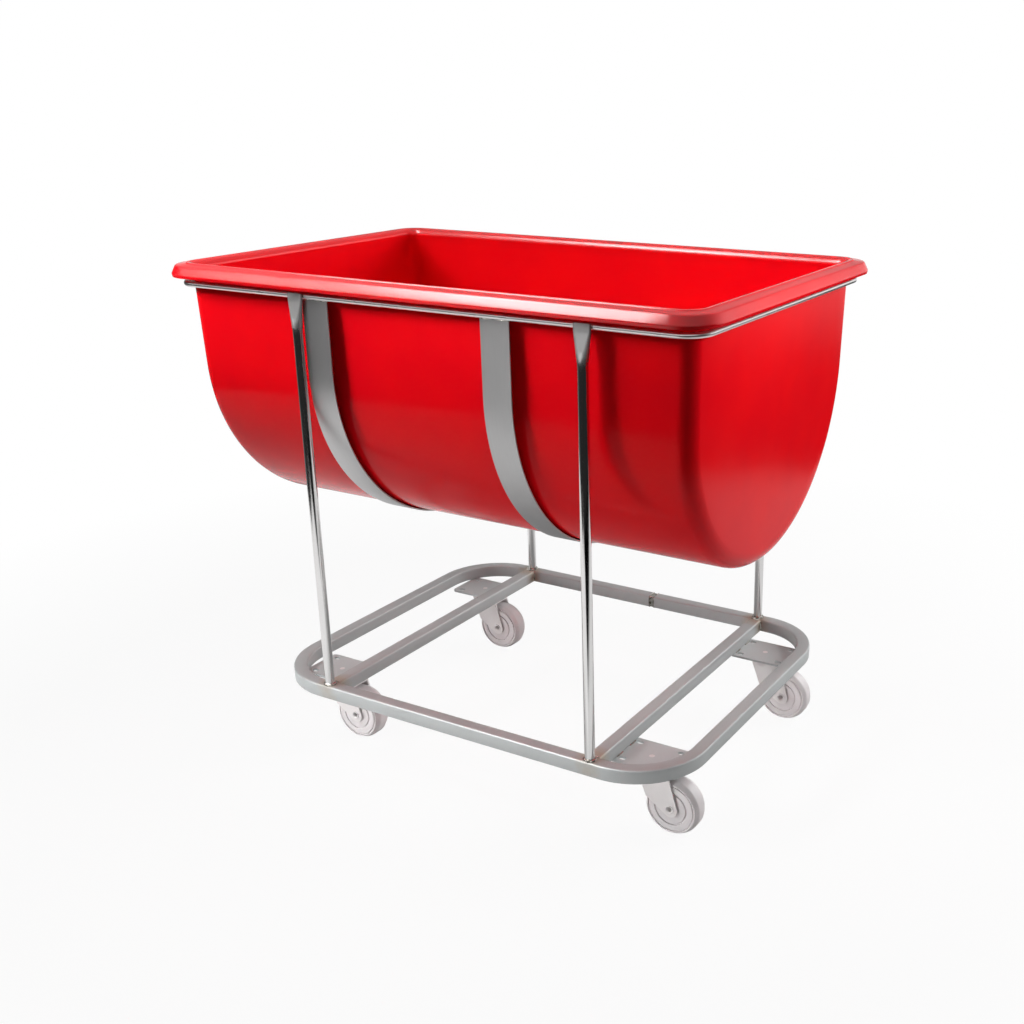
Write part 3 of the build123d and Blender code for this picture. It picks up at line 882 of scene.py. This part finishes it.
def floor_paper(nodes, colours, reach):
    """Pale paper that looks white, keeps the object's shadow and fades into the background; in mirrors it
    glows with painted light, bright in two patches and with painted shade near the trough.
    """
    place = nodes.place()
    tint = nodes.blend(nodes.noise(place, 3.0, detail=2.0), colours.floor, shaded(colours.floor, 0.985))
    matt = nodes.add("ShaderNodeBsdfDiffuse", {"Color": tint})
    seen, gloss = ray_is(nodes, "Camera"), ray_is(nodes, "Glossy", "Transmission")
    apart = nodes.distance(place, (0, 0, 0))
    # Mirrors see a painted glow, not the lit paper: painted shade near the trough, bright patches to the back
    # right and front left, dark beyond.
    painted_shade = nodes.spread(apart, 0.25, 0.8, reach * 0.15, reach * 0.4)
    right_painted_glow = nodes.spread(nodes.distance(place, (0.25, 0.5, 0)), 1.0, 0.0, 1.3, 1.55)
    left_painted_glow = nodes.spread(nodes.distance(place, (-1.0, -1.0, 0)), 1.2, 0.0, 1.4, 1.6)
    sheet = nodes.maths("MAXIMUM", right_painted_glow, left_painted_glow)
    mirrored = nodes.maths("MULTIPLY", gloss, nodes.maths("MULTIPLY", painted_shade, sheet))
    white = nodes.add("ShaderNodeEmission", {"Strength": nodes.maths("MAXIMUM", seen, mirrored)})
    faded = nodes.spread(apart, 0.93, 1.0, reach * 0.5, reach * 0.9)
    share = nodes.maths("MAXIMUM", gloss, nodes.maths("MULTIPLY", seen, faded))
    nodes.mix_out("ShaderNodeOutputMaterial", share, matt, white)


def build_floor(colours, reach=2.0):
    """A round sheet of pale paper under the castors."""
    shape = Shape()
    shape.cap(shape.row([Vector((x, y, 0)) for x, y in circle((0, 0), reach, 48)]))
    mesh = bpy.data.meshes.new("floor")
    mesh.from_pydata(shape.points, [], shape.faces)
    paper, nodes = new_finish("studio_floor")
    floor_paper(nodes, colours, reach)
    mesh.materials.append(paper)
    floor = bpy.data.objects.new("floor", mesh)
    bpy.context.scene.collection.objects.link(floor)


def room_levels(nodes, stage):
    """How bright the room is in each direction, as steel mirrors it."""
    x, y, z = nodes.axes(nodes.add("ShaderNodeTexCoord").outputs["Generated"])
    levels = nodes.spread(z, stage.horizon, stage.overhead, 0.3, 0.6)
    behind = nodes.spread(y, 0.0, stage.backdrop, 0.1, 0.6)
    standing = nodes.spread(z, 0.0, 1.0, 0.0, 0.12)
    below = nodes.spread(z, stage.far_floor, 0.0, -0.1, 0.0)
    left = nodes.spread(x, 1.0, 0.0, -0.6, -0.3)
    not_front = nodes.spread(y, 0.0, 1.0, -0.6, -0.3)
    wall_foot = nodes.spread(z, 0.0, stage.front_wall, 0.06, 0.12)
    in_front = nodes.spread(y, stage.front_wall, 0.0, -0.5, -0.3)
    band_foot = nodes.spread(z, 0.0, 1.0, -0.22, -0.16)
    band_top = nodes.spread(z, 1.0, 0.0, 0.12, 0.24)
    far_back = nodes.spread(y, 0.0, stage.far_back, 0.4, 0.6)
    parts = (
        nodes.maths("MULTIPLY", behind, standing),
        nodes.maths("MULTIPLY", below, nodes.maths("MULTIPLY", left, not_front)),
        nodes.maths("MINIMUM", wall_foot, in_front),
        nodes.maths("MULTIPLY", nodes.maths("MINIMUM", band_foot, band_top), far_back),
    )
    for part in parts:
        levels = nodes.maths("MAXIMUM", levels, part)
    return levels


def build_world(stage):
    """A room that steel mirrors with its own levels, white where the camera looks past the floor."""
    world = bpy.data.worlds.new("studio")
    world.use_nodes = True
    bpy.context.scene.world = world
    nodes = Nodes(world.node_tree)
    white = (1, 1, 1, 1)
    soft = nodes.add("ShaderNodeBackground", {"Color": white, "Strength": stage.ambient})
    levels = nodes.maths("MAXIMUM", ray_is(nodes, "Camera"), room_levels(nodes, stage))
    room = nodes.add("ShaderNodeBackground", {"Color": white, "Strength": levels})
    share = ray_is(nodes, "Camera", "Glossy", "Transmission")
    nodes.mix_out("ShaderNodeOutputWorld", share, soft, room)


def add_lamp(lamp):
    """A soft rectangular lamp that looks at a point, and shows on matt surfaces or in gloss."""
    light = bpy.data.lights.new(lamp.name, "AREA")
    light.shape = "RECTANGLE"
    light.size, light.size_y = lamp.width, lamp.height
    light.energy = lamp.watts
    light.spread = math.radians(lamp.beam)
    made = bpy.data.objects.new(lamp.name, light)
    made.location = lamp.place
    made.rotation_mode = "QUATERNION"
    made.rotation_quaternion = (Vector(lamp.aim) - Vector(lamp.place)).to_track_quat("-Z", "Y")
    made.visible_camera = False
    made.visible_diffuse = lamp.shows == "matt"
    made.visible_glossy = lamp.shows == "gloss"
    bpy.context.scene.collection.objects.link(made)


def build_camera(stage):
    """A camera at the photograph's viewing angle."""
    view = bpy.data.cameras.new("camera")
    view.sensor_width = 36.0
    view.lens = stage.lens
    view.shift_x = stage.camera_shift
    view.clip_end = 200.0
    made = bpy.data.objects.new("camera", view)
    made.location = stage.camera_place
    made.rotation_euler = (math.pi / 2 - stage.camera_tilt, 0, stage.camera_pan)
    bpy.context.scene.collection.objects.link(made)
    bpy.context.scene.camera = made


class TROUGH_OT_tub(Operator):
    """Build the moulded tub"""

    bl_idname = "trough.tub"
    bl_label = "Tub"

    def execute(self, context):
        build_tub(context.scene.trough_tub, finish("tub_gelcoat"))
        return {"FINISHED"}


class TROUGH_OT_ring(Operator):
    """Build the ring under the rim"""

    bl_idname = "trough.ring"
    bl_label = "Ring"

    def execute(self, context):
        build_ring(context.scene.trough_frame, finish("ring_steel"))
        return {"FINISHED"}


class TROUGH_OT_straps(Operator):
    """Build the straps that carry the tub"""

    bl_idname = "trough.straps"
    bl_label = "Straps"

    def execute(self, context):
        finishes = {side: finish(f"{side}_strap_steel") for side in SIDES}
        build_straps(context.scene.trough_frame, finishes)
        return {"FINISHED"}


class TROUGH_OT_legs(Operator):
    """Build the legs with their fans"""

    bl_idname = "trough.legs"
    bl_label = "Legs"

    def execute(self, context):
        build_legs(context.scene.trough_frame, finish("leg_steel"))
        return {"FINISHED"}


class TROUGH_OT_base(Operator):
    """Build the base loop and its cross members"""

    bl_idname = "trough.base"
    bl_label = "Base"

    def execute(self, context):
        build_base(context.scene.trough_frame, finish("rail_steel"), finish("weld_steel"))
        return {"FINISHED"}


class TROUGH_OT_castors(Operator):
    """Dress the castor plates, forks, axles, kingpins and balls"""

    bl_idname = "trough.castors"
    bl_label = "Castors"

    def execute(self, context):
        build_castors(finish("plate_metal"), finish("castor_metal"), finish("bearing_metal"))
        return {"FINISHED"}


class TROUGH_OT_wheels(Operator):
    """Build the castor wheels"""

    bl_idname = "trough.wheels"
    bl_label = "Wheels"

    def execute(self, context):
        build_wheels(context.scene.trough_wheels, finish("wheel_nylon"), finish("bearing_metal"))
        return {"FINISHED"}


class TROUGH_OT_welds(Operator):
    """Build the weld beads"""

    bl_idname = "trough.welds"
    bl_label = "Welds"

    def execute(self, context):
        build_welds(context.scene.trough_frame, finish("weld_steel"))
        return {"FINISHED"}


class TROUGH_OT_stage(Operator):
    """Build the floor, the light and the camera"""

    bl_idname = "trough.stage"
    bl_label = "Stage"

    def execute(self, context):
        context.scene.view_settings.view_transform = "Standard"
        build_floor(context.scene.trough_finishes)
        build_world(context.scene.trough_stage)
        for lamp in LAMPS:
            add_lamp(lamp)
        build_camera(context.scene.trough_stage)
        return {"FINISHED"}


SETTINGS = {
    "trough_tub": TubSizes,
    "trough_frame": FrameSizes,
    "trough_wheels": WheelSizes,
    "trough_finishes": Finishes,
    "trough_stage": StageSettings,
}
OPERATORS = (TROUGH_OT_tub, TROUGH_OT_ring, TROUGH_OT_straps, TROUGH_OT_legs, TROUGH_OT_base,
             TROUGH_OT_castors, TROUGH_OT_wheels, TROUGH_OT_welds, TROUGH_OT_stage)


class VIEW3D_PT_trough(Panel):
    """Lists the steps and the settings"""

    bl_label = "Dough trough"
    bl_space_type = "VIEW_3D"
    bl_region_type = "UI"
    bl_category = "Trough"

    def draw(self, context):
        for step in OPERATORS:
            self.layout.operator(step.bl_idname)
        for name, group in SETTINGS.items():
            box = self.layout.box()
            box.label(text=group.__doc__)
            for field in group.__annotations__:
                box.prop(getattr(context.scene, name), field)


def register():
    for group in SETTINGS.values():
        bpy.utils.register_class(group)
    for name, group in SETTINGS.items():
        setattr(bpy.types.Scene, name, PointerProperty(type=group))
    for made in (*OPERATORS, VIEW3D_PT_trough):
        bpy.utils.register_class(made)


def unregister():
    for made in (VIEW3D_PT_trough, *reversed(OPERATORS)):
        bpy.utils.unregister_class(made)
    for name in SETTINGS:
        delattr(bpy.types.Scene, name)
    for group in reversed(list(SETTINGS.values())):
        bpy.utils.unregister_class(group)


def main():
    register()
    bpy.ops.trough.tub()
    bpy.ops.trough.ring()
    bpy.ops.trough.straps()
    bpy.ops.trough.legs()
    bpy.ops.trough.base()
    bpy.ops.trough.castors()
    bpy.ops.trough.wheels()
    bpy.ops.trough.welds()
    bpy.ops.trough.stage()


if __name__ == "__main__":
    main()
